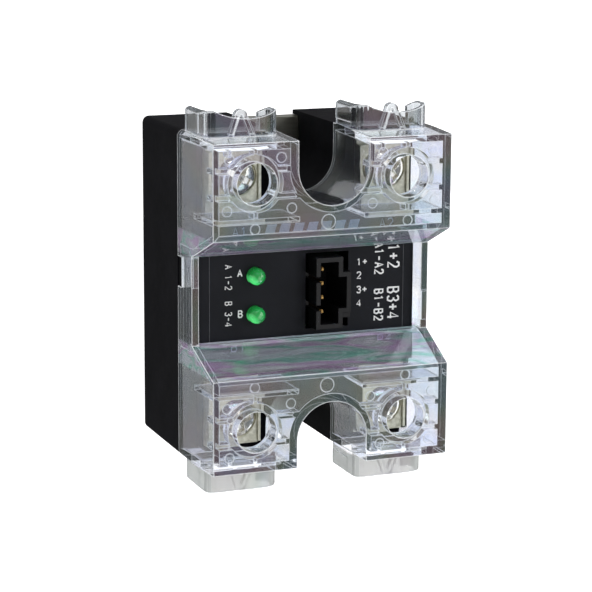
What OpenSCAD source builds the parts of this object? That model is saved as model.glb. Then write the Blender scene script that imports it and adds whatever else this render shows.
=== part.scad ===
// Dual-channel panel-mount solid state relay with a clear touch-safe cover.
// X across the face, Y along the length, Z out of the metal base plate. Millimetres.

/* [Housing] */
// Width of the moulded housing
body_w = 45; // [44.5:0.1:45.5]
// Length of the moulded housing
body_l = 58; // [57.5:0.1:58.5]
// Height of the flush lower part of the housing, where the cover seats
seat_z = 20; // [19.5:0.1:20.5]
// Radius of the housing's vertical corners
corner_r = 1.2; // [0.8:0.1:1.6]
// Half width of the mounting notch at each end
notch_r = 6.45; // [6:0.05:6.8]

/* [Mounting] */
// Distance between the two mounting screw holes
hole_pitch = 47.6; // [47:0.1:48]
// Radius of each mounting screw hole
hole_r = 2.25; // [2.1:0.05:2.4]
// Thickness of the metal base plate
plate_t = 3; // [2.8:0.1:3.2]

/* [Cover] */
// Height of the cover's front face above the base
cover_z = 36.4; // [36:0.1:37]
// Wall thickness of the clear moulding
cover_t = 1.3; // [1.1:0.1:1.4]
// Half length of the open window over the label
window_y = 7.8; // [7.4:0.1:8]
// Radius of the screwdriver holes
driver_r = 3.6; // [3.3:0.05:3.7]

/* [Terminals] */
// Distance of each terminal screw from the centre line across the face
term_x = 13.9; // [13.8:0.1:14]
// Distance of each terminal screw from the centre line along the length
term_y = 21.4; // [21.2:0.1:21.5]
// Half width of a terminal plate and of its wire clamp
term_hw = 4.3; // [4.2:0.1:4.4]

/* [Hidden] */
$fn = 64;
eps = 0.01;
e = 1;

// Heights of the stack
housing_z0 = 0.2;
deck_z = 24.3;
roof_t = 2;
label_t = 0.2;
label_z = deck_z + label_t;
label_hx = 20;
label_hy = 14;
label_corner_r = 0.6;
substrate_t = 0.7;
pad_t = 0.3;
chip_t = 0.4;
strap_t = 0.4;
pad_z = plate_t + substrate_t;
chip_z = pad_z + pad_t;
strap_z = chip_z + chip_t;
gel_z = 9;
board_z = 13.4;
board_t = 1.6;
parts_z = board_z + board_t;

// Power stage of one channel, at +Y
substrate_hx = 18;
substrate_y0 = 3;
substrate_y1 = 13.4;
pad_x0 = 1;
pad_x1 = 17.2;
pad_y0 = 6.2;
pad_y1 = 13.2;
chip_x0 = 3.6;
chip_w = 3.8;
strap_x1 = 6.5;
strap_w = 1.6;
strap_foot_x = 1.6;
strap_foot_w = 1.2;
strap_y = [7.4, 10.3];
gate_x = [-1.5, 8.3];
gate_y = 4.6;
gate_pad_hw = 0.8;
gate_hw = 0.3;

// Control electronics of one channel, at +Y
board_hx = 18.2;
board_hy = 13;
post_x = 17;
post_y = 11.3;
post_r = 1.5;
opto_x = 12.5;
opto_y = 6.5;
opto_hx = 2.6;
opto_hy = 3.6;
opto_h = 3.4;
opto_gap = 0.4;
opto_leg_x = 3.1;
opto_leg_t = 0.4;
opto_leg_w = 0.5;
opto_leg_z = 2;
opto_leg_bend = 0.3;
opto_tail = 0.6;
opto_hole_r = 0.35;
leg_pitch = 2.54;
chip_margin = 0.2;
gate_tail = 0.5;
hole_gap = 0.05;
led_hole_r = 0.4;
pin_hole_r = 0.5;
regulator_x = [-6.8, -2.3];
regulator_y = [7.9, 10.4];
regulator_h = 1.6;
resistor_x = [-6.1, -2.9];
resistor_y = [1.2, 3.6, 6];
resistor_hw = 0.8;
resistor_h = 0.6;
capacitor_x = [-17.7, -12.7];
capacitor_y = [3.5, 12];
capacitor_h = 6.2;

// Housing walls
wall = 2;
gel_gap = 0.05;
slack = 0.1;
ledge_hx = body_w / 2 - 0.8;
ledge_hy = body_l / 2 - 0.8;
upper_hx = body_w / 2 - 2.2;
upper_hy = body_l / 2 - 1.6;
step_x = 18.1;
step_y = 14.4;
step_wall = 1.4;
notch_y = 23.6;
lining_t = 1.2;
upper_notch_r = notch_r + lining_t + 0.1;
cavity_notch_r = upper_notch_r + wall;
boss_h = 5;
boss_z = 11;
shank_well_z = 12.5;
catch_y0 = 1.7;
catch_y1 = 7;
catch_h = 1.8;
catch_gap = 0.15;

// Base plate
plate_hx = body_w / 2 - 0.9;
plate_hy = body_l / 2 - 0.9;
plate_corner_r = 0.8;

// Terminal set
term_t = 1.4;
term_z = deck_z - 0.7;
term_top = term_z + term_t;
term_y0 = 14.8;
term_y1 = 26.4;
leg_t = 1.2;
leg_hw = 2.5;
foot_y = 10.6;
nut_h = 3.2;
nut_hw = 3.5;
thread_r = 2;
shank_r = 1.95;
clear_r = 2.3;
clamp_r = 2.25;
clamp_t = 1.2;
clamp_lip = 0.5;
clamp_lip_h = 0.5;
head_z = term_top + clamp_t;
head_h = 2;
head_r = 3.6;
dome_r = (head_r * head_r + head_h * head_h) / (2 * head_h);
slot_hw = 0.5;
slot_d = 1;
cross_hl = 2.2;
cross_hw = 0.55;
cross_d = 1.4;
tip_h = 0.6;
shank_z = 14;
slot_angles = [-28, 38, 12, 64];

// Header and indicators
header_x0 = 0.35;
header_x1 = 6.95;
header_step_x = 5.4;
header_hy = 6.38;
header_step_y = 3.65;
header_gap_x = 0.75;
header_gap_y = 0.4;
header_key_y = 4.6;
header_key_t = 0.2;
header_key_drop = 0.4;
header_slot_z = 22;
header_slot_hw = 0.5;
header_top = 27.7;
header_wall = 0.85;
header_floor = 18;
pin_x = 2.6;
pin_pitch = 2.54;
pin_hw = 0.32;
pin_tip = 0.4;
pin_tip_hw = 0.2;
pin_top = 25;
led_x = -9.85;
led_y = 3.43;
led_r = 1.5;
led_flange_r = 1.9;
led_z = 19;
led_dome_z = 25.4;
led_flange_h = 0.9;
led_lead_hw = 0.25;
led_pitch = 2.54;
tail_z = board_z - 1.2;

// Cover
draft_x = 0.75;
draft_y = 0.55;
front_y = 12;
slope_z = 26.5;
foot_z = label_z + 0.2;
foot_t = 1.3;
foot_drop = 0.3;
rail_x = body_w / 2 - 1.6;
inner_z = cover_z - cover_t;
collar_z = 32.4;
collar_r = 4.9;
rib_t = 0.9;
rib_dy = 2.3;
rib_z = 32.6;
fin_hw = 0.3;
fin_x = 4.6;
web_y = 15;
web_t = 0.8;
web_z = 26.6;
web_x = 6;
entry_z = 28.9;
entry_x0 = -6.2;
entry_x1 = 5.2;
mark_d = 0.15;
mark_r = 0.85;
mark_x = [-19, -7.4, 7.4, 19];
mark_y = 17;
end_mark_x = [-18.6, -9.3, 9.3, 18.6];
end_mark_y = 25.7;
slope_mark_x = 14;
slope_mark_y = 13.7;
gate_mark = [-0.7, 14.3];
gate_mark_r = 1.25;
hood_t = 0.9;
hood_y0 = 27.4;
hood_y1 = 33.2;
hood_pts = [[-7.1, 21.2], [-7.1, 25], [-7, 28.2], [-6, 30], [-2, 30.1], [3, 30.1], [5.3, 29.4],
    [6, 27.5], [5.4, 25.7], [3.9, 25.8]];
hood_mid = -0.55;
hood_hx = 7.2;
hood_corner_r = 1.2;
dip_x = 0.5;
dip_y = 44.5;
dip_r = 12.75;
brace_z0 = 28.45;
brace_z1 = 30;
brace_t = 0.85;
brace_y1 = 33.3;
brace_foot_y = 27.5;
brace_foot_x = [-3.2, 2.5];
brace_tip_x = -0.5;
brace_tip_r = 1.1;

CLEAR = [0.86, 0.9, 0.93, 0.4];
BLACK = [0.06, 0.06, 0.065];
NICKEL = [0.72, 0.7, 0.64];
COPPER = [0.72, 0.43, 0.25];

// A rectangle with true round corners
module round_rect(hx, hy, r) {
    square([2 * hx - 2 * r, 2 * hy], center = true);
    square([2 * hx, 2 * hy - 2 * r], center = true);
    for (sx = [-1, 1], sy = [-1, 1])
        translate([sx * (hx - r), sy * (hy - r)]) circle(r = r);
}

module round_block(hx, hy, r, z0, z1) {
    translate([0, 0, z0]) linear_extrude(z1 - z0) round_rect(hx, hy, r);
}

module box(x0, x1, y0, y1, z0, z1) {
    translate([x0, y0, z0]) cube([x1 - x0, y1 - y0, z1 - z0]);
}

module rod(x, y, r, z0, z1) {
    translate([x, y, z0]) cylinder(r = r, h = z1 - z0);
}

// The two U-shaped end notches as a solid, open towards the ends
module notches(r, z0, z1) {
    for (s = [-1, 1]) {
        rod(0, s * notch_y, r, z0, z1);
        scale([1, s, 1]) box(-r, r, notch_y, body_l / 2 + e, z0, z1);
    }
}

// Both ends, seen from the end at +Y
module both_ends() {
    for (s = [0, 1]) mirror([0, s, 0]) children();
}

// Both sides, seen from the side at +X
module both_sides() {
    for (s = [0, 1]) mirror([s, 0, 0]) children();
}

module base_plate() {
    color([0.62, 0.63, 0.58])
    difference() {
        round_block(plate_hx, plate_hy, plate_corner_r, 0, plate_t);
        for (s = [-1, 1]) rod(0, s * hole_pitch / 2, hole_r, -e, plate_t + e);
    }
}

module housing() {
    color(BLACK)
    difference() {
        union() {
            round_block(body_w / 2, body_l / 2, corner_r, housing_z0, seat_z);
            round_block(upper_hx, upper_hy, corner_r, seat_z - eps, deck_z);
            catches();
        }
        both_ends() both_sides()
            box(step_x, body_w, step_y, body_l, seat_z, deck_z + e);
        housing_bottom();
        housing_cavity();
        notches(notch_r, -e, deck_z + e);
        notches(upper_notch_r, seat_z, deck_z + e);
        housing_openings();
    }
}

// Lugs that register the cover's skirt, one on each side
module catches() {
    for (a = [0, 180]) rotate([0, 0, a])
        box(-body_w / 2 + catch_gap, -upper_hx + e, catch_y0 + catch_gap, catch_y1 - catch_gap,
            seat_z - eps, seat_z + catch_h - 2 * catch_gap);
}

module housing_bottom() {
    round_block(ledge_hx, ledge_hy, plate_corner_r + slack, -e, plate_t);
}

module housing_cavity() {
    difference() {
        box(-upper_hx + wall, upper_hx - wall, -upper_hy + wall, upper_hy - wall,
            -e, deck_z - roof_t);
        notches(cavity_notch_r, -2 * e, deck_z);
        both_ends() both_sides()
            terminal_boss();
        board_posts();
    }
}

// Solid block under one terminal, and the thick wall beside it under the stepped-in deck
module terminal_boss() {
    box(term_x - boss_h, term_x + boss_h, term_y - boss_h, term_y + boss_h, boss_z, deck_z);
    box(step_x - step_wall, body_w, step_y - step_wall, body_l, seat_z - step_wall, deck_z);
}

// Posts under the roof that the control board rests against
module board_posts() {
    both_sides() rod(post_x, 0, post_r, parts_z, deck_z);
    both_ends() rod(0, post_y, post_r, parts_z, deck_z);
}

module housing_openings() {
    plate_x = term_hw + slack;
    leg_x = leg_hw + slack;
    nut_x = nut_hw + slack;
    both_ends() both_sides() {
        box(term_x - plate_x, term_x + plate_x, term_y0 - slack, term_y1 + slack,
            term_z, deck_z + e);
        box(term_x - leg_x, term_x + leg_x, term_y0 - slack, term_y0 + leg_t + slack,
            deck_z - roof_t - e, deck_z);
        box(term_x - nut_x, term_x + nut_x, term_y - nut_x, term_y + nut_x,
            term_z - nut_h, term_z + e);
        rod(term_x, term_y, clear_r, shank_well_z, term_z);
    }
    header_cutout(deck_z - roof_t - e, deck_z + e);
    both_ends() rod(led_x, led_y, led_r + slack, deck_z - roof_t - e, deck_z + e);
}

module header_cutout(z0, z1) {
    box(header_x0 - header_gap_x, header_x1 + header_gap_x, -header_hy - header_gap_y,
        header_hy + header_gap_y, z0, z1);
}

module label() {
    color([0.03, 0.03, 0.035])
    difference() {
        round_block(label_hx, label_hy, label_corner_r, deck_z, label_z);
        header_cutout(deck_z - e, label_z + e);
        both_ends() rod(led_x, led_y, led_r + slack, deck_z - e, label_z + e);
    }
}

module ceramic_substrates() {
    color([0.93, 0.93, 0.9])
    both_ends() box(-substrate_hx, substrate_hx, substrate_y0, substrate_y1, plate_t, pad_z);
}

module copper_pads() {
    color(COPPER)
    both_ends() {
        both_sides() box(pad_x0, pad_x1, pad_y0, pad_y1, pad_z, chip_z);
        for (x = gate_x)
            box(x - gate_pad_hw, x + gate_pad_hw, gate_y - gate_pad_hw, gate_y + gate_pad_hw,
                pad_z, chip_z);
    }
}

// Two chips in each channel, joined back to back by the links
module scr_chips() {
    chip_x1 = chip_x0 + chip_w;
    color([0.35, 0.36, 0.4])
    both_ends() {
        box(-chip_x1, -chip_x0, pad_y1 - chip_margin - chip_w, pad_y1 - chip_margin,
            chip_z, strap_z);
        box(chip_x0, chip_x1, pad_y0 + chip_margin, pad_y0 + chip_margin + chip_w,
            chip_z, strap_z);
    }
}

// Flat links from the top of each chip to the opposite pad
module bond_straps() {
    color(COPPER)
    both_ends() for (s = [0, 1]) mirror([s, 0, 0]) {
        y = strap_y[1 - s];
        foot_x1 = strap_foot_x + strap_foot_w;
        box(-strap_x1, foot_x1, y, y + strap_w, strap_z, strap_z + strap_t);
        box(strap_foot_x, foot_x1, y, y + strap_w, chip_z, strap_z);
    }
}

module gate_leads() {
    color(NICKEL)
    both_ends() for (x = gate_x)
        box(x - gate_hw, x + gate_hw, gate_y - gate_hw, gate_y + gate_hw,
            chip_z, parts_z + gate_tail);
}

module potting_gel() {
    color([0.8, 0.83, 0.8, 0.5])
    difference() {
        box(-upper_hx + wall, upper_hx - wall, -upper_hy + wall, upper_hy - wall,
            plate_t, gel_z);
        notches(cavity_notch_r + gel_gap, 0, deck_z);
        ceramic_substrates();
        copper_pads();
        scr_chips();
        bond_straps();
        gate_leads();
        both_ends() both_sides() terminal_leg();
    }
}

module control_board() {
    z0 = board_z - e;
    z1 = parts_z + e;
    hole_hw = gate_hw + hole_gap;
    color([0.1, 0.35, 0.16])
    difference() {
        box(-board_hx, board_hx, -board_hy, board_hy, board_z, parts_z);
        both_ends() {
            for (x = gate_x)
                box(x - hole_hw, x + hole_hw, gate_y - hole_hw, gate_y + hole_hw, z0, z1);
            for (x = [-led_pitch, led_pitch] / 2) rod(led_x + x, led_y, led_hole_r, z0, z1);
            for (x = [-opto_leg_x, opto_leg_x], y = [-1, 0, 1])
                rod(opto_x + x, opto_y + y * leg_pitch, opto_hole_r, z0, z1);
            for (y = [0.5, 1.5]) rod(pin_x, y * pin_pitch, pin_hole_r, z0, z1);
        }
    }
}

module optocouplers() {
    z0 = parts_z + opto_gap;
    color([0.08, 0.08, 0.08])
    both_ends() translate([opto_x, opto_y, 0]) {
        box(-opto_hx, opto_hx, -opto_hy, opto_hy, z0, z0 + opto_h);
        both_sides() for (y = [-leg_pitch, 0, leg_pitch]) opto_leg(y);
    }
}

// One bent leg of an optocoupler, at +X of its body
module opto_leg(y) {
    x1 = opto_leg_x + opto_leg_t / 2;
    y0 = y - opto_leg_w / 2;
    y1 = y + opto_leg_w / 2;
    top = parts_z + opto_leg_z;
    box(x1 - opto_leg_t, x1, y0, y1, board_z - opto_tail, top);
    box(opto_hx - eps, x1, y0, y1, top - opto_leg_bend, top);
}

module input_regulators() {
    color([0.1, 0.1, 0.1])
    both_ends()
        box(regulator_x[0], regulator_x[1], regulator_y[0], regulator_y[1],
            parts_z, parts_z + regulator_h);
}

module resistors() {
    color([0.12, 0.13, 0.16])
    both_ends()
        for (y = resistor_y)
            box(resistor_x[0], resistor_x[1], y - resistor_hw, y + resistor_hw,
                parts_z, parts_z + resistor_h);
}

module snubber_capacitors() {
    color([0.75, 0.15, 0.12])
    both_ends()
        box(capacitor_x[0], capacitor_x[1], capacitor_y[0], capacitor_y[1],
            parts_z, parts_z + capacitor_h);
}

module led(y) {
    color([0.05, 0.75, 0.25])
    translate([led_x, y, 0]) {
        rod(0, 0, led_r, led_z + led_flange_h / 2, led_dome_z);
        rod(0, 0, led_flange_r, led_z, led_z + led_flange_h);
        intersection() {
            translate([0, 0, led_dome_z]) sphere(r = led_r);
            rod(0, 0, 2 * led_r, led_dome_z - eps, led_dome_z + 2 * led_r);
        }
    }
}

module led_a() { led(led_y); }
module led_b() { led(-led_y); }

module led_leads() {
    color(NICKEL)
    both_ends()
        for (x = [led_x - led_pitch / 2, led_x + led_pitch / 2])
            box(x - led_lead_hw, x + led_lead_hw, led_y - led_lead_hw, led_y + led_lead_hw,
                tail_z, led_z);
}

// Plan outline of the header's shroud: both right-hand corners are stepped in
module header_outline(inset) {
    x0 = header_x0 + inset;
    x1 = header_x1 - inset;
    xs = header_step_x - inset;
    y1 = header_hy - inset;
    ys = header_step_y - inset;
    polygon([[x0, -y1], [xs, -y1], [xs, -ys], [x1, -ys], [x1, ys], [xs, ys], [xs, y1], [x0, y1]]);
}

module input_header() {
    color([0.04, 0.04, 0.045])
    union() {
        difference() {
            translate([0, 0, parts_z]) linear_extrude(header_top - parts_z) header_outline(0);
            translate([0, 0, header_floor]) linear_extrude(header_top) header_outline(header_wall);
            for (y = [-1, 1])
                box(header_x0 - e, header_x0 + header_wall + eps,
                    y * pin_pitch - header_slot_hw, y * pin_pitch + header_slot_hw,
                    header_slot_z, header_top + e);
            for (y = [-1.5, -0.5, 0.5, 1.5])
                box(pin_x - pin_hw, pin_x + pin_hw, y * pin_pitch - pin_hw,
                    y * pin_pitch + pin_hw, parts_z - e, header_floor + e);
        }
        box(header_step_x - header_key_t, header_x1, -header_key_y, -header_step_y + eps,
            parts_z, header_top - header_key_drop);
    }
}

module header_pins() {
    color([0.85, 0.65, 0.25])
    for (y = [-1.5, -0.5, 0.5, 1.5]) {
        box(pin_x - pin_hw, pin_x + pin_hw, y * pin_pitch - pin_hw, y * pin_pitch + pin_hw,
            tail_z, pin_top - pin_tip);
        box(pin_x - pin_tip_hw, pin_x + pin_tip_hw, y * pin_pitch - pin_tip_hw,
            y * pin_pitch + pin_tip_hw, pin_top - pin_tip, pin_top);
    }
}

// Terminal at (+X, +Y): plate on the deck, leg down the inside, foot on the copper pad
module terminal_leg() {
    box(term_x - leg_hw, term_x + leg_hw, term_y0, term_y0 + leg_t, chip_z, term_z + eps);
    box(term_x - leg_hw, term_x + leg_hw, foot_y, term_y0 + leg_t, chip_z, chip_z + leg_t);
}

module terminal() {
    color(NICKEL)
    difference() {
        union() {
            box(term_x - term_hw, term_x + term_hw, term_y0, term_y1, term_z, term_top);
            terminal_leg();
        }
        rod(term_x, term_y, clear_r, term_z - e, term_top + e);
    }
}

module clamp() {
    color(NICKEL)
    difference() {
        union() {
            box(term_x - term_hw, term_x + term_hw, term_y - term_hw, term_y + term_hw,
                term_top, head_z);
            for (x = [term_x - term_hw, term_x + term_hw - clamp_lip])
                box(x, x + clamp_lip, term_y - term_hw, term_y + term_hw,
                    head_z - eps, head_z + clamp_lip_h);
        }
        rod(term_x, term_y, clamp_r, term_top - e, head_z + e);
    }
}

// Domed screw of the terminal at (+X, +Y), its slot turned by angle
module screw(angle) {
    color([0.85, 0.84, 0.8])
    translate([term_x, term_y, 0]) difference() {
        union() {
            rod(0, 0, shank_r, shank_z, head_z + eps);
            translate([0, 0, shank_z - tip_h])
                cylinder(r1 = shank_r - tip_h, r2 = shank_r, h = tip_h);
            intersection() {
                translate([0, 0, head_z + head_h - dome_r]) sphere(r = dome_r);
                rod(0, 0, head_r, head_z, head_z + 2 * head_h);
            }
        }
        rotate([0, 0, angle]) screw_drive();
    }
}

// Combined slot and cross recess
module screw_drive() {
    top = head_z + head_h;
    box(-head_r - e, head_r + e, -slot_hw, slot_hw, top - slot_d, top + e);
    for (a = [0, 90]) rotate([0, 0, a])
        box(-cross_hl, cross_hl, -cross_hw, cross_hw, top - cross_d, top + e);
}

module terminal_a1() { mirror([1, 0, 0]) terminal(); }
module terminal_a2() { terminal(); }
module terminal_b1() { rotate([0, 0, 180]) terminal(); }
module terminal_b2() { mirror([0, 1, 0]) terminal(); }

module clamp_a1() { mirror([1, 0, 0]) clamp(); }
module clamp_a2() { clamp(); }
module clamp_b1() { rotate([0, 0, 180]) clamp(); }
module clamp_b2() { mirror([0, 1, 0]) clamp(); }

module screw_a1() { translate([-2 * term_x, 0, 0]) screw(slot_angles[0]); }
module screw_a2() { screw(slot_angles[1]); }
module screw_b1() { translate([-2 * term_x, -2 * term_y, 0]) screw(slot_angles[2]); }
module screw_b2() { translate([0, -2 * term_y, 0]) screw(slot_angles[3]); }

module terminal_nuts() {
    color([0.6, 0.6, 0.58])
    both_ends() both_sides() difference() {
        box(term_x - nut_hw, term_x + nut_hw, term_y - nut_hw, term_y + nut_hw,
            term_z - nut_h, term_z);
        rod(term_x, term_y, thread_r, term_z - nut_h - e, term_z + e);
    }
}

// Outer body of the cover: drafted on all sides, with the window cut to its slopes
module cover_outer() {
    hy = body_l / 2;
    hx = body_w / 2;
    intersection() {
        round_block(hx, hy, corner_r, seat_z, cover_z);
        rotate([90, 0, 0]) translate([0, 0, -hy - e]) linear_extrude(2 * hy + 2 * e)
            polygon([[-hx, seat_z], [hx, seat_z], [hx - draft_x, cover_z],
                [-hx + draft_x, cover_z]]);
        rotate([90, 0, 90]) translate([0, 0, -hx - e]) linear_extrude(2 * hx + 2 * e)
            polygon([[-hy, seat_z], [hy, seat_z], [hy - draft_y, cover_z], [front_y, cover_z],
                [window_y, slope_z], [-window_y, slope_z], [-front_y, cover_z],
                [-hy + draft_y, cover_z]]);
    }
}

// Hollow inside of one terminal block, at +Y
module cover_cavity() {
    hy = body_l / 2 - cover_t;
    hx = body_w / 2 - cover_t;
    run = (front_y - window_y) / (cover_z - slope_z);
    y_foot = window_y + foot_t;
    z_foot = slope_z - foot_drop;
    difference() {
        intersection() {
            rotate([90, 0, 0]) translate([0, 0, -hy]) linear_extrude(2 * hy)
                polygon([[-hx, seat_z - e], [hx, seat_z - e], [hx - draft_x, inner_z],
                    [-hx + draft_x, inner_z]]);
            rotate([90, 0, 90]) translate([0, 0, -hx]) linear_extrude(2 * hx)
                polygon([[y_foot, seat_z - e], [hy, seat_z - e], [hy - draft_y, inner_z],
                    [y_foot + run * (inner_z - z_foot), inner_z], [y_foot, z_foot]]);
        }
        notches(notch_r + lining_t, 0, cover_z);
    }
}

module cover_window() {
    box(-rail_x, rail_x, -window_y, window_y, seat_z - e, cover_z);
    box(-rail_x, rail_x, -window_y - foot_t - eps, window_y + foot_t + eps, seat_z - e, foot_z);
}

// Everything around one terminal's hole, at (xc, +Y)
module collar(xc) {
    intersection() {
        cover_outer();
        difference() {
            union() {
                rod(xc, term_y, collar_r, collar_z, cover_z);
                for (s = [-1, 1])
                    box(-body_w / 2, body_w / 2, term_y + s * rib_dy - rib_t / 2,
                        term_y + s * rib_dy + rib_t / 2, rib_z, cover_z);
                box(xc - fin_hw, xc + fin_hw, web_y, body_l / 2, rib_z, cover_z);
                box(xc - fin_x - fin_hw, xc - fin_x + fin_hw, term_y + fin_x, body_l / 2,
                    rib_z, cover_z);
            }
            rod(xc, term_y, driver_r, collar_z - e, cover_z + e);
            box(min(0, -sign(xc) * body_w), max(0, -sign(xc) * body_w), 0, body_l,
                0, cover_z + e);
        }
    }
}

module cross_web() {
    intersection() {
        cover_outer();
        both_sides()
            box(web_x, body_w / 2, web_y - web_t / 2, web_y + web_t / 2, web_z, cover_z);
    }
}

// Shallow round marks left inside the front wall
module moulding_marks() {
    z0 = inner_z - eps;
    z1 = inner_z + mark_d;
    for (x = mark_x) rod(x, mark_y, mark_r, z0, z1);
    for (x = end_mark_x) rod(x, end_mark_y, mark_r, z0, z1);
    for (x = [-slope_mark_x, slope_mark_x]) rod(x, slope_mark_y, mark_r, z0, z1);
    rod(gate_mark[0], gate_mark[1], gate_mark_r, z0, z1);
}

// Smooth path through control points
function smooth(p0, p1, p2, p3, t) = 0.5 * (2 * p1 + (p2 - p0) * t
    + (2 * p0 - 5 * p1 + 4 * p2 - p3) * t * t + (3 * p1 - p0 - 3 * p2 + p3) * t * t * t);
function at(p, i) = p[max(0, min(len(p) - 1, i))];
function path(p, n) = [for (i = [0 : len(p) - 2], k = [0 : n - 1])
    smooth(at(p, i - 1), at(p, i), at(p, i + 1), at(p, i + 2), k / n), at(p, len(p) - 1)];
function unit(v) = v / norm(v);
function normal_at(p, i) = let (d = unit(at(p, i + 1) - at(p, i - 1))) [-d[1], d[0]];
function side_line(p, t) = [for (i = [0 : len(p) - 1]) p[i] + t * normal_at(p, i)];
function reversed(p) = [for (i = [len(p) - 1 : -1 : 0]) p[i]];

// Curved guard over the wire entry of the terminal at (xc, +Y), with its brace.
// The edge of a dipped guard curves in at the middle.
module wire_hood(xc, dipped) {
    line = path(hood_pts, 4);
    translate([xc, 0, 0]) {
        difference() {
            intersection() {
                rotate([90, 0, 0]) translate([0, 0, -hood_y1]) linear_extrude(hood_y1 - hood_y0)
                    polygon(concat(side_line(line, hood_t / 2),
                        reversed(side_line(line, -hood_t / 2))));
                translate([hood_mid, hood_y1 - hood_hx, 0])
                    round_block(hood_hx, hood_hx, hood_corner_r, seat_z, cover_z);
            }
            if (dipped) rod(dip_x, dip_y, dip_r, seat_z, cover_z);
        }
        translate([0, 0, brace_z0]) linear_extrude(brace_z1 - brace_z0) wire_brace();
    }
}

// Bow that stiffens the guard: two slanting legs that meet in a round tip
module wire_brace() {
    tip = [brace_tip_x, brace_y1 - brace_tip_r];
    difference() {
        union() {
            translate(tip) circle(r = brace_tip_r);
            polygon([[brace_foot_x[0], brace_foot_y], [tip[0] - brace_tip_r, tip[1]],
                [tip[0] + brace_tip_r, tip[1]], [brace_foot_x[1], brace_foot_y]]);
        }
        translate(tip) circle(r = brace_tip_r - brace_t);
        polygon([[brace_foot_x[0] + brace_t, brace_foot_y - eps],
            [tip[0] - brace_tip_r + brace_t, tip[1] + eps],
            [tip[0] + brace_tip_r - brace_t, tip[1] + eps],
            [brace_foot_x[1] - brace_t, brace_foot_y - eps]]);
    }
}

module cover() {
    color(CLEAR)
    difference() {
        union() {
            difference() {
                cover_outer();
                both_ends() cover_cavity();
                cover_window();
            }
            both_ends() {
                for (s = [-1, 1]) collar(s * term_x);
                cross_web();
            }
            for (s = [-1, 1]) {
                wire_hood(s * term_x, true);
                mirror([0, 1, 0]) wire_hood(s * term_x, false);
            }
        }
        notches(notch_r, seat_z - e, cover_z + e);
        both_ends() {
            for (s = [-1, 1]) {
                rod(s * term_x, term_y, driver_r, inner_z - e, cover_z + e);
                box(s * term_x + entry_x0, s * term_x + entry_x1, body_l / 2 - 2 * cover_t,
                    body_l / 2 + eps, deck_z, entry_z);
            }
            moulding_marks();
        }
        for (a = [0, 180]) rotate([0, 0, a])
            box(-body_w / 2 - e, -rail_x, catch_y0, catch_y1, seat_z - e, seat_z + catch_h);
    }
}

base_plate();
housing();
label();
ceramic_substrates();
copper_pads();
scr_chips();
bond_straps();
gate_leads();
potting_gel();
control_board();
optocouplers();
input_regulators();
resistors();
snubber_capacitors();
led_a();
led_b();
led_leads();
input_header();
header_pins();
terminal_a1();
terminal_a2();
terminal_b1();
terminal_b2();
terminal_nuts();
clamp_a1();
clamp_a2();
clamp_b1();
clamp_b2();
screw_a1();
screw_a2();
screw_b1();
screw_b2();
cover();
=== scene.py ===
"""Looks, light and camera for the dual-channel solid state relay."""

import math

import bmesh
import bpy
from mathutils import Matrix, Vector


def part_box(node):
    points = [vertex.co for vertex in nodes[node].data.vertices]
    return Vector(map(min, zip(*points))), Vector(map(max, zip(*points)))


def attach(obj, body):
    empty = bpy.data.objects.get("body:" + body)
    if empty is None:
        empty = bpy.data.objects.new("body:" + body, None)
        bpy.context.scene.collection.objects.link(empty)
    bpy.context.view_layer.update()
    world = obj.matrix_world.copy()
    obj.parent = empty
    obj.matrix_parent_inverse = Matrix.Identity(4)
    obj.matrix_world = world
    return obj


MM = 0.001

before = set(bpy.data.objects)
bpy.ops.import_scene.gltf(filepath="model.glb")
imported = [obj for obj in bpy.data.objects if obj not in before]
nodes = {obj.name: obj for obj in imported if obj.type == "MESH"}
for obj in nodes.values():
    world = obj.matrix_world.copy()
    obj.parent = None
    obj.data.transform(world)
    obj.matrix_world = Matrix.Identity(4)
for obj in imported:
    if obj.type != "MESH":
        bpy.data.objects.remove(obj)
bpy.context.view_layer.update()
scene = bpy.context.scene

LABEL_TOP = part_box("label")[1].z
COVER_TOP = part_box("cover")[1].z

# Camera: its turns in degrees, the part's place in the camera's own axes, and the lens in mm
CAM_YAW = 21.45
CAM_PITCH = 11.86
CAM_ROLL = -0.33
CAM_OFFSET = Vector((-6.88, 5.60, -411.6)) * MM
CAM_LENS = 134.6
CAM_SENSOR = 36.0
CLIP_NEAR = 0.01
CLIP_FAR = 20.0

# Lights: name, place, width and height in metres, and brightness
LIGHTS = (
    ("light_below", (0.1, -1.0, 0.5), 1.4, 0.7, 2.6),
    ("light_right", (1.0, 0.2, 0.7), 0.5, 0.9, 1.8),
    ("light_left", (-1.0, 0.1, 0.5), 0.35, 0.8, 0.5),
    ("light_top", (-0.1, 1.0, 0.5), 0.9, 0.5, 4.0),
    ("light_front", (0.40, -0.30, 1.1), 1.0, 1.0, 1.3),
    ("light_key", (0.75, 0.45, 1.0), 0.16, 0.16, 30.0),
    ("light_spark", (0.96, 0.65, 0.58), 0.12, 0.12, 60.0),
)
WORLD_STRENGTH = 0.3
FLOOR_SIZE = 3.0
FLOOR_CELLS = 4
FLOOR_GLOW = 0.9

# Enough bounces for light to pass through several walls of the cover and back
MAX_BOUNCES = 24
TRANSMISSION_BOUNCES = 20
GLOSSY_BOUNCES = 6

# The cover along its length, in mm from the middle: its slopes and its wire hoods
SLOPE_INNER = 7.9
SLOPE_OUTER = 12.1
HOOD_START = 29.0

# How wide each zone of the cover's look takes to set in, and its edges whitened as a painted
# highlight, in mm
SLOPE_INNER_FADE = 0.3
SLOPE_OUTER_FADE = 0.2
HOOD_FADE = 0.5
EDGE_WIDTH = 0.34

# Share of light the cover lets through: clean walls, full scuffs, milky hoods, edges; the
# edges' lower share is part of their painted highlight
CLEAN = 0.97
SCUFFED = 0.62
MILKY = 0.5
EDGED = 0.45

# The cover's thin film, from its thinnest to its thickest, in nm
FILM_THIN = 180.0
FILM_THICK = 620.0
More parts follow.
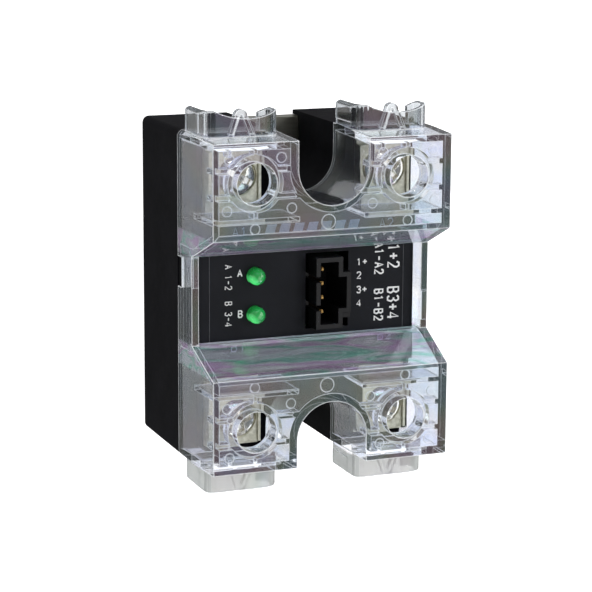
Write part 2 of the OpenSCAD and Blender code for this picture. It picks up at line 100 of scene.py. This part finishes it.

# The cover's tints, the white of its painted edge highlight and the colour of its painted edge
# glow, and the stops of its drifting and its fringed colours
SMOKY_TINT = (0.42, 0.44, 0.46)
MILKY_TINT = (0.60, 0.62, 0.61)
EDGE_HIGHLIGHT_TINT = (0.97, 0.98, 1.0)
EDGE_PAINTED_GLOW = (0.90, 0.95, 1.0)
DRIFT_STOPS = (
    (0.30, (0.64, 0.69, 0.80)),
    (0.42, (0.64, 0.70, 0.75)),
    (0.50, (0.70, 0.71, 0.75)),
    (0.58, (0.64, 0.68, 0.79)),
    (0.70, (0.72, 0.72, 0.73)),
)
FRINGE_STOPS = (
    (0.40, (0.66, 0.72, 0.80)),
    (0.45, (0.28, 0.68, 0.56)),
    (0.49, (0.72, 0.77, 0.84)),
    (0.57, (0.68, 0.44, 0.76)),
    (0.61, (0.76, 0.79, 0.86)),
)

# The lamps' bright crescent, a painted glow standing in for light refracted to one side: its
# side, the cosines where it starts and is full, its colour
CRESCENT_SIDE = (-0.75, -0.55, 0.35)
CRESCENT_START = 0.55
CRESCENT_FULL = 0.95
LAMP_PAINTED_GLOW = (0.12, 0.80, 0.24)

# Edge mask: the cosine between the rounded and the true normal, on open faces and on edges
EDGE_OPEN = 0.995
EDGE_FULL = 0.86
BEVEL_SAMPLES = 6

# How far the print stands over the label, and how flat its strokes are pressed
PRINT_RISE = 0.02 * MM
PRINT_FLATTEN = 0.08


# ---------------------------------------------------------------- node graph helpers
class Graph:
    """A material's node tree, with short calls for the nodes used here."""

    def __init__(self, name):
        self.mat = bpy.data.materials.new(name)
        self.mat.use_nodes = True
        self.tree = self.mat.node_tree
        self.bsdf = self.tree.nodes["Principled BSDF"]
        self.coords = self.tree.nodes.new("ShaderNodeTexCoord").outputs["Object"]

    def add(self, kind, **values):
        """A new node; each value sets the setting of that name, or else the input."""
        made = self.tree.nodes.new("ShaderNode" + kind)
        for key, value in values.items():
            if hasattr(made, key):
                setattr(made, key, value)
            else:
                made.inputs[key.replace("_", " ")].default_value = value
        return made

    def link(self, a, b):
        self.tree.links.new(a, b)

    def set(self, **values):
        for key, value in values.items():
            self.bsdf.inputs[key.replace("_", " ")].default_value = value

    def remapped(self, value, from_low=0.0, from_high=1.0, low=0.0, high=1.0):
        """Value carried from one range to another, and held at its ends."""
        made = self.add("MapRange", From_Min=from_low, From_Max=from_high,
                        To_Min=low, To_Max=high)
        self.link(value, made.inputs["Value"])
        return made.outputs["Result"]

    def spread(self, fac, low, high):
        return self.remapped(fac, low=low, high=high)

    def pair(self, operation, a, b):
        made = self.add("Math", operation=operation)
        self.link(a, made.inputs[0])
        self.link(b, made.inputs[1])
        return made.outputs["Value"]

    def product(self, a, b):
        return self.pair("MULTIPLY", a, b)

    def total(self, a, b):
        return self.pair("ADD", a, b)

    def cosine(self, normal):
        """A dot product node that already holds normal as its first input."""
        made = self.add("VectorMath", operation="DOT_PRODUCT")
        self.link(normal, made.inputs[0])
        return made

    def stretched(self, scale):
        mapping = self.add("Mapping", Scale=scale)
        self.link(self.coords, mapping.inputs["Vector"])
        return mapping.outputs["Vector"]

    def noise(self, size_mm, detail=3.0, rough=0.5, vector=None):
        made = self.add("TexNoise", Scale=1.0 / (size_mm * MM), Detail=detail, Roughness=rough)
        self.link(vector or self.coords, made.inputs["Vector"])
        return made.outputs["Fac"]

    def true_normal(self):
        return self.add("NewGeometry").outputs["Normal"]

    def soft_edges(self, radius_mm):
        """The surface's normal, rounded over within radius_mm of an edge."""
        made = self.add("Bevel", samples=BEVEL_SAMPLES, Radius=radius_mm * MM)
        return made.outputs["Normal"]

    def edge_mask(self, radius_mm):
        """1 along the sharp edges, 0 on the open faces."""
        dot = self.cosine(self.soft_edges(radius_mm))
        self.link(self.true_normal(), dot.inputs[1])
        return self.remapped(dot.outputs["Value"], EDGE_OPEN, EDGE_FULL)

    def facing(self, direction, start, end):
        """0 where the cosine between the normal and direction is start, 1 where it is end."""
        dot = self.cosine(self.true_normal())
        dot.inputs[1].default_value = Vector(direction).normalized()
        return self.remapped(dot.outputs["Value"], start, end)

    def along_y(self, start_mm, end_mm, signed=False):
        """0 at start_mm along the length, 1 at end_mm; measured both ways unless signed."""
        split = self.add("SeparateXYZ")
        self.link(self.coords, split.inputs["Vector"])
        place = split.outputs["Y"]
        if not signed:
            away = self.add("Math", operation="ABSOLUTE")
            self.link(place, away.inputs[0])
            place = away.outputs["Value"]
        return self.remapped(place, start_mm * MM, end_mm * MM)

    def ramp(self, fac, stops):
        made = self.add("ValToRGB")
        ramp = made.color_ramp
        while len(ramp.elements) < len(stops):
            ramp.elements.new(0.5)
        for element, (place, colour) in zip(ramp.elements, stops):
            element.position = place
            element.color = (*colour, 1.0)
        self.link(fac, made.inputs["Fac"])
        return made.outputs["Color"]

    def mixed(self, fac, low, high):
        """Colour between low and high by fac; each is a colour or a socket."""
        made = self.add("Mix", data_type="RGBA")
        self.link(fac, made.inputs[0])
        for place, value in ((6, low), (7, high)):
            if isinstance(value, tuple):
                made.inputs[place].default_value = (*value, 1.0)
            else:
                self.link(value, made.inputs[place])
        return made.outputs[2]

    def bump(self, height, strength, distance_mm, normal=None):
        made = self.add("Bump", Strength=strength, Distance=distance_mm * MM)
        self.link(height, made.inputs["Height"])
        if normal is not None:
            self.link(normal, made.inputs["Normal"])
        return made.outputs["Normal"]

    def colour(self, socket):
        self.link(socket, self.bsdf.inputs["Base Color"])

    def mottled(self, fac, low, high, start=0.3, end=0.7):
        """Base colour that goes from low to high as fac goes from start to end."""
        self.colour(self.ramp(fac, ((start, low), (end, high))))

    def rough(self, socket):
        self.link(socket, self.bsdf.inputs["Roughness"])

    def worn(self, fac, roughness, under, over):
        """Roughness from under below the stated value to over above it."""
        self.rough(self.spread(fac, roughness - under, roughness + over))

    def normal(self, socket):
        self.link(socket, self.bsdf.inputs["Normal"])

    # Emission set by fac; used here for the painted glow along the cover's edges and in the
    # lamps' crescent
    def glow(self, fac, colour, low, high):
        self.set(Emission_Color=(*colour, 1.0))
        self.link(self.spread(fac, low, high), self.bsdf.inputs["Emission Strength"])


# ---------------------------------------------------------------- materials
def moulded_black(name, low, high, roughness, grain_mm, grain, specular=0.3, edge_mm=0.15):
    g = Graph(name)
    g.mottled(g.noise(6.0, detail=4.0), low, high)
    g.worn(g.noise(1.5), roughness, under=0.06, over=0.08)
    g.set(Specular_IOR_Level=specular)
    g.normal(g.bump(g.noise(grain_mm, detail=2.0), grain, 0.05, g.soft_edges(edge_mm)))
    return g.mat


def clear_plastic():
    """Smoky clear moulding: milky lower wire hoods, scuffed slopes, and edges with a painted
    white highlight and a painted glow.
    """
    g = Graph("clear_polycarbonate")
    g.set(IOR=1.54, Specular_IOR_Level=0.5, Thin_Film_IOR=1.49)

    # Zones, each 1 inside and 0 outside
    # Edge mask for the painted highlight: the edges are whitened, made less clear and given a
    # painted glow
    edges = g.edge_mask(EDGE_WIDTH)
    milky = g.along_y(-HOOD_START, -HOOD_START - HOOD_FADE, signed=True)
    smoky = g.along_y(HOOD_START, HOOD_START + HOOD_FADE, signed=True)
    slopes = g.product(g.along_y(SLOPE_INNER - SLOPE_INNER_FADE, SLOPE_INNER),
                       g.along_y(SLOPE_OUTER, SLOPE_OUTER - SLOPE_OUTER_FADE))

    # Tint: a drifting body colour, overlaid by each zone in turn; the edges get a painted
    # white highlight
    drift = g.ramp(g.noise(9.0, detail=2.0, rough=0.4), DRIFT_STOPS)
    bands = g.noise(2.4, detail=1.0, rough=0.4, vector=g.stretched((0.16, 1.0, 0.6)))
    tint = g.mixed(slopes, drift, g.ramp(bands, FRINGE_STOPS))
    tint = g.mixed(smoky, tint, SMOKY_TINT)
    tint = g.mixed(milky, tint, MILKY_TINT)
    g.colour(g.mixed(edges, tint, EDGE_HIGHLIGHT_TINT))

    # Clearness: less along the slopes' scuffs, in the milky hoods and at the edges, where the
    # lower clearness is part of the painted highlight
    scuffs = g.noise(0.7, detail=5.0, rough=0.6, vector=g.stretched((0.07, 1.0, 1.0)))
    clear = g.product(g.spread(g.product(slopes, scuffs), CLEAN, SCUFFED),
                      g.spread(milky, 1.0, MILKY))
    clear = g.product(clear, g.spread(edges, 1.0, EDGED))
    g.link(clear, g.bsdf.inputs["Transmission Weight"])

    # Surface: an uneven thin film, a faint waviness, rougher hoods and a painted glow along
    # the edges
    film = g.spread(g.noise(14.0, detail=1.0, rough=0.4), FILM_THIN, FILM_THICK)
    g.link(film, g.bsdf.inputs["Thin Film Thickness"])
    g.rough(g.total(g.spread(g.noise(3.0), 0.005, 0.03), g.spread(milky, 0.0, 0.10)))
    g.normal(g.bump(g.noise(5.0, detail=1.5), 0.10, 0.2, g.soft_edges(0.18)))
    g.glow(edges, EDGE_PAINTED_GLOW, low=0.0, high=0.30)
    return g.mat


def metal(name, low, high, roughness, grain_mm, grain, stretch=(1, 1, 1), edge_mm=0.1):
    g = Graph(name)
    vector = g.stretched(stretch)
    g.set(Metallic=1.0)
    g.mottled(g.noise(0.8, 5.0, 0.6, vector), low, high)
    g.worn(g.noise(0.5, 4.0, 0.6, vector), roughness, under=0.08, over=0.1)
    g.normal(g.bump(g.noise(grain_mm, 3.0, 0.6, vector), grain, 0.03, g.soft_edges(edge_mm)))
    return g.mat


def lamp_green():
    """Tinted lens with a painted glow, faint all over and bright in a crescent on one side
    that stands in for refracted light.
    """
    g = Graph("lamp_green")
    g.set(Transmission_Weight=0.55, IOR=1.52, Coat_Weight=1.0, Coat_Roughness=0.02)
    g.mottled(g.noise(2.4), (0.002, 0.52, 0.08), (0.006, 0.66, 0.14))
    g.rough(g.spread(g.noise(0.7), 0.12, 0.2))
    # Painted light: the side that faces CRESCENT_SIDE glows, in place of light refracted
    # through the lens
    crescent = g.facing(CRESCENT_SIDE, CRESCENT_START, CRESCENT_FULL)
    g.glow(crescent, LAMP_PAINTED_GLOW, low=0.06, high=0.75)
    return g.mat


def plain_part(name, low, high, roughness, transmission=0.0, size_mm=1.5):
    g = Graph(name)
    g.mottled(g.noise(size_mm, detail=4.0), low, high)
    g.worn(g.noise(size_mm / 2), roughness, under=0.05, over=0.07)
    g.set(Specular_IOR_Level=0.4, Transmission_Weight=transmission)
    g.normal(g.bump(g.noise(size_mm / 6), 0.2, 0.02, g.soft_edges(0.08)))
    return g.mat


def print_ink(name, low, high):
    g = Graph(name)
    g.mottled(g.noise(0.25, rough=0.6), low, high, start=0.35, end=0.6)
    g.set(Roughness=0.55)
    g.normal(g.bump(g.noise(0.1), 0.2, 0.01))
    return g.mat


def floor_white():
    g = Graph("floor_white")
    g.mottled(g.noise(40.0, detail=2.0), (0.93, 0.93, 0.93), (0.95, 0.95, 0.95))
    g.set(Roughness=0.9, Specular_IOR_Level=0.1,
          Emission_Color=(1.0, 1.0, 1.0, 1.0), Emission_Strength=FLOOR_GLOW)
    return g.mat


HOUSING = moulded_black("housing_black", (0.0035, 0.0035, 0.0048), (0.006, 0.006, 0.008),
                        roughness=0.6, grain_mm=0.22, grain=0.35, specular=0.04)
LABEL = moulded_black("label_black", (0.005, 0.006, 0.009), (0.009, 0.010, 0.014),
                      roughness=0.45, grain_mm=0.12, grain=0.5, specular=0.12, edge_mm=0.05)
HEADER = moulded_black("header_black", (0.004, 0.004, 0.005), (0.007, 0.007, 0.008),
                       roughness=0.38, grain_mm=0.3, grain=0.15, specular=0.22, edge_mm=0.2)
EPOXY = moulded_black("epoxy_black", (0.012, 0.012, 0.012), (0.022, 0.022, 0.022),
                      roughness=0.5, grain_mm=0.2, grain=0.4)
TERMINAL = metal("terminal_nickel", (0.50, 0.48, 0.36), (0.78, 0.76, 0.62),
                 roughness=0.36, grain_mm=0.16, grain=0.7)
SCREW = metal("screw_nickel", (0.86, 0.82, 0.72), (0.96, 0.94, 0.86),
              roughness=0.12, grain_mm=0.5, grain=0.15)
PLATE = metal("base_plate_metal", (0.38, 0.38, 0.32), (0.52, 0.52, 0.45),
              roughness=0.3, grain_mm=0.4, grain=0.4, stretch=(0.15, 1, 1))
PLATED = metal("tinned_wire", (0.6, 0.6, 0.58), (0.72, 0.72, 0.7),
               roughness=0.25, grain_mm=0.3, grain=0.2)
NUT = metal("nut_zinc", (0.5, 0.5, 0.48), (0.62, 0.62, 0.6),
            roughness=0.35, grain_mm=0.3, grain=0.3)
COPPER = metal("bare_copper", (0.70, 0.33, 0.18), (0.83, 0.45, 0.27),
               roughness=0.3, grain_mm=0.4, grain=0.3)
GOLD = metal("gold_flash", (0.24, 0.14, 0.05), (0.36, 0.23, 0.08),
             roughness=0.3, grain_mm=0.3, grain=0.15)
SILICON = metal("chip_metal", (0.24, 0.25, 0.29), (0.34, 0.35, 0.4),
                roughness=0.25, grain_mm=0.6, grain=0.1)

LOOKS = {
    "base_plate": PLATE,
    "housing": HOUSING,
    "label": LABEL,
    "ceramic_substrates": plain_part("alumina", (0.82, 0.82, 0.78), (0.9, 0.9, 0.87), 0.5),
    "copper_pads": COPPER,
    "bond_straps": COPPER,
    "scr_chips": SILICON,
    "gate_leads": PLATED,
    "led_leads": PLATED,
    "potting_gel": plain_part("silicone_gel", (0.75, 0.78, 0.75), (0.85, 0.87, 0.85), 0.25,
                              transmission=0.8, size_mm=6.0),
    "control_board": plain_part("board_green", (0.02, 0.13, 0.05), (0.04, 0.2, 0.08), 0.3),
    "optocouplers": EPOXY,
    "input_regulators": EPOXY,
    "resistors": plain_part("resistor_body", (0.03, 0.035, 0.05), (0.06, 0.065, 0.08), 0.35),
    "snubber_capacitors": plain_part("capacitor_box", (0.42, 0.05, 0.04), (0.55, 0.08, 0.05),
                                     0.35),
    "led_a": lamp_green(),
    "input_header": HEADER,
    "header_pins": GOLD,
    "terminal_nuts": NUT,
    "cover": clear_plastic(),
}
LOOKS["led_b"] = LOOKS["led_a"]
for end in ("a1", "a2", "b1", "b2"):
    LOOKS["terminal_" + end] = TERMINAL
    LOOKS["clamp_" + end] = TERMINAL
    LOOKS["screw_" + end] = SCREW

for name, node in nodes.items():
    node.data.materials.clear()
    node.data.materials.append(LOOKS[name])


# ---------------------------------------------------------------- generic print on the label
# Strokes on a cell 4 wide and 6 high, as polylines
STROKES = {
    "1": [[(0.8, 4.8), (2, 6), (2, 0)]],
    "2": [[(0.2, 4.8), (1, 6), (3, 6), (3.8, 4.8), (3.6, 3.6), (0.2, 0), (3.9, 0)]],
    "3": [[(0.2, 5.2), (1.2, 6), (3, 6), (3.8, 4.6), (2.6, 3.3), (1.5, 3.3)],
          [(2.6, 3.3), (3.9, 2), (3, 0), (1, 0), (0.1, 0.9)]],
    "4": [[(3, 0), (3, 6), (0, 1.8), (4, 1.8)]],
    "A": [[(0, 0), (2, 6), (4, 0)], [(0.8, 2.2), (3.2, 2.2)]],
    "B": [[(0.2, 0), (0.2, 6), (2.8, 6), (3.6, 4.7), (2.8, 3.2), (0.2, 3.2)],
          [(2.8, 3.2), (3.9, 1.7), (3, 0), (0.2, 0)]],
    "+": [[(0, 3), (4, 3)], [(2, 1), (2, 5)]],
    "-": [[(0.4, 3), (3.6, 3)]],
    " ": [],
}
CELL_W = 4.0
CELL_H = 6.0
ADVANCE = 5.8

WHITE_INK = print_ink("ink_white", (0.80, 0.80, 0.80), (0.93, 0.93, 0.93))
BLUE_INK = print_ink("ink_pale_blue", (0.35, 0.47, 0.60), (0.50, 0.64, 0.78))
GREY_INK = print_ink("ink_grey", (0.03, 0.032, 0.04), (0.06, 0.065, 0.075))

# Styles of mark: letter height in mm, and stroke weight as a share of it
LAMP_MARK = {"height": 1.15, "weight": 0.24, "ink": WHITE_INK}
PIN_MARK = {"height": 1.15, "weight": 0.22, "ink": WHITE_INK}
TERMINAL_MARK = {"height": 1.6, "weight": 0.12, "ink": BLUE_INK}

# Where they stand on the label, in mm: the pins' marks share one x
PIN_MARK_X = 10.3
PIN_MARKS = (("1+", 4.6), ("2 ", 2.2), ("3+", -0.4), ("4 ", -2.85))
TERMINAL_MARKS = (("a1", -12.9, 11.4), ("a2", 14.7, 11.4),
                  ("b1", -13.1, -9.6), ("b2", 14.7, -9.6))

# The thin lines down the label's sides, in mm
EDGE_LINES = (("print_edge_left", -18.3), ("print_edge_right", 18.3))
EDGE_LINE_HALF_WIDTH = 0.05
EDGE_LINE_REACH = 13.0

# The row of slanted bars, in mm: the first one's sides, the step to the next, and the slant
BAR_LEFT = -8.3
BAR_RIGHT = -6.5
BAR_PITCH = 2.6
BAR_COUNT = 7
BAR_BOTTOM = 10.7
BAR_TOP = 12.4
BAR_LEAN = 0.5


def printed(name, mesh, ink):
    mesh.name = name
    mesh.materials.clear()
    mesh.materials.append(ink)
    obj = bpy.data.objects.new(name, mesh)
    scene.collection.objects.link(obj)
    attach(obj, "relay")


def legend(name, text, x, y, height, ink, turned=False, weight=0.16, narrow=1.0):
    """Flat print centred on (x, y), in mm; turned print reads downwards."""
    unit = height / CELL_H
    width = (len(text) - 1) * ADVANCE + CELL_W
    curve = bpy.data.curves.new(name, "CURVE")
    curve.dimensions = "3D"
    curve.bevel_depth = height * weight / 2 * MM
    curve.bevel_resolution = 2
    curve.use_fill_caps = True
    for place, char in enumerate(text):
        for stroke in STROKES[char]:
            spline = curve.splines.new("POLY")
            spline.points.add(len(stroke) - 1)
            for point, (u, v) in zip(spline.points, stroke):
                du = (u + place * ADVANCE - width / 2) * unit * narrow
                dv = (v - CELL_H / 2) * unit
                px, py = (dv, -du) if turned else (du, dv)
                point.co = (px * MM, py * MM, 0.0, 1.0)
    maker = bpy.data.objects.new(name + "_curve", curve)
    scene.collection.objects.link(maker)
    bpy.context.view_layer.update()
    solved = maker.evaluated_get(bpy.context.evaluated_depsgraph_get())
    mesh = bpy.data.meshes.new_from_object(solved)
    bpy.data.objects.remove(maker)
    mesh.transform(Matrix.Diagonal((1, 1, PRINT_FLATTEN, 1)))
    mesh.transform(Matrix.Translation((x * MM, y * MM, LABEL_TOP + PRINT_RISE)))
    printed(name, mesh, ink)


def bars(name, spans, y0, y1, ink, lean=0.0):
    """A row of plain bars from y0 to y1, slanted by lean; spans are (x0, x1), all in mm."""
    bm = bmesh.new()
    for x0, x1 in spans:
        corners = [(x0, y0), (x1, y0), (x1 + lean, y1), (x0 + lean, y1)]
        face = bm.faces.new([bm.verts.new((x * MM, y * MM, LABEL_TOP)) for x, y in corners])
        made = bmesh.ops.extrude_face_region(bm, geom=[face])
        for item in made["geom"]:
            if isinstance(item, bmesh.types.BMVert):
                item.co.z += 2 * PRINT_RISE
    bmesh.ops.recalc_face_normals(bm, faces=bm.faces)
    mesh = bpy.data.meshes.new(name)
    bm.to_mesh(mesh)
    bm.free()
    printed(name, mesh, ink)


legend("print_lamp_a", "A", -12.7, 4.05, **LAMP_MARK)
legend("print_lamp_b", "B", -12.6, -3.2, **LAMP_MARK)
for text, y in PIN_MARKS:
    legend("print_pin_" + text[0], text, PIN_MARK_X, y, **PIN_MARK)
legend("print_pairs", "A 1-2  B 3-4", -14.8, 0.2, height=1.2, ink=WHITE_INK,
       turned=True, weight=0.15, narrow=0.8)
legend("print_ways", "A1-A2  B1-B2", 13.6, 0.8, height=1.6, ink=WHITE_INK,
       turned=True, weight=0.20, narrow=0.78)
legend("print_channels", "A1+2  B3+4", 16.4, 1.4, height=2.1, ink=WHITE_INK,
       turned=True, weight=0.17, narrow=0.76)
for end, x, y in TERMINAL_MARKS:
    legend("print_" + end, end.upper(), x, y, **TERMINAL_MARK)
for name, x in EDGE_LINES:
    bars(name, [(x - EDGE_LINE_HALF_WIDTH, x + EDGE_LINE_HALF_WIDTH)],
         -EDGE_LINE_REACH, EDGE_LINE_REACH, GREY_INK)
bars("print_band",
     [(BAR_LEFT + i * BAR_PITCH, BAR_RIGHT + i * BAR_PITCH) for i in range(BAR_COUNT)],
     BAR_BOTTOM, BAR_TOP, BLUE_INK, BAR_LEAN)


# ---------------------------------------------------------------- floor, light and camera
def make_floor():
    mesh = bpy.data.meshes.new("floor")
    bm = bmesh.new()
    bmesh.ops.create_grid(bm, x_segments=FLOOR_CELLS, y_segments=FLOOR_CELLS, size=FLOOR_SIZE)
    bm.to_mesh(mesh)
    bm.free()
    floor = bpy.data.objects.new("floor", mesh)
    scene.collection.objects.link(floor)
    mesh.materials.append(floor_white())
    floor.visible_glossy = False


def softbox(name, place, size_x, size_y, radiance):
    """A rectangular area light that faces the part; its power follows from its brightness."""
    data = bpy.data.lights.new(name, "AREA")
    data.shape = "RECTANGLE"
    data.size = size_x
    data.size_y = size_y
    data.energy = radiance * math.pi * size_x * size_y
    lamp = bpy.data.objects.new(name, data)
    scene.collection.objects.link(lamp)
    aim = Vector((0, 0, COVER_TOP / 2)) - Vector(place)
    turn = aim.to_track_quat("-Z", "Y").to_matrix().to_4x4()
    lamp.matrix_world = Matrix.Translation(place) @ turn


def make_camera():
    yaw, pitch, roll = (math.radians(a) for a in (CAM_YAW, CAM_PITCH, CAM_ROLL))
    world_to_cam = (Matrix.Rotation(roll, 3, "Z") @ Matrix.Rotation(pitch, 3, "X")
                    @ Matrix.Rotation(yaw, 3, "Y"))
    data = bpy.data.cameras.new("camera")
    data.lens = CAM_LENS
    data.sensor_width = CAM_SENSOR
    data.clip_start = CLIP_NEAR
    data.clip_end = CLIP_FAR
    camera = bpy.data.objects.new("camera", data)
    scene.collection.objects.link(camera)
    turn = world_to_cam.transposed()
    camera.matrix_world = Matrix.Translation(-(turn @ CAM_OFFSET)) @ turn.to_4x4()
    scene.camera = camera


def make_world():
    world = bpy.data.worlds.new("studio")
    scene.world = world
    world.use_nodes = True
    background = world.node_tree.nodes["Background"]
    background.inputs["Color"].default_value = (1.0, 1.0, 1.0, 1.0)
    background.inputs["Strength"].default_value = WORLD_STRENGTH


make_floor()
for light in LIGHTS:
    softbox(*light)
make_camera()
make_world()

scene.view_settings.view_transform = "Standard"
scene.cycles.max_bounces = MAX_BOUNCES
scene.cycles.transmission_bounces = TRANSMISSION_BOUNCES
scene.cycles.glossy_bounces = GLOSSY_BOUNCES
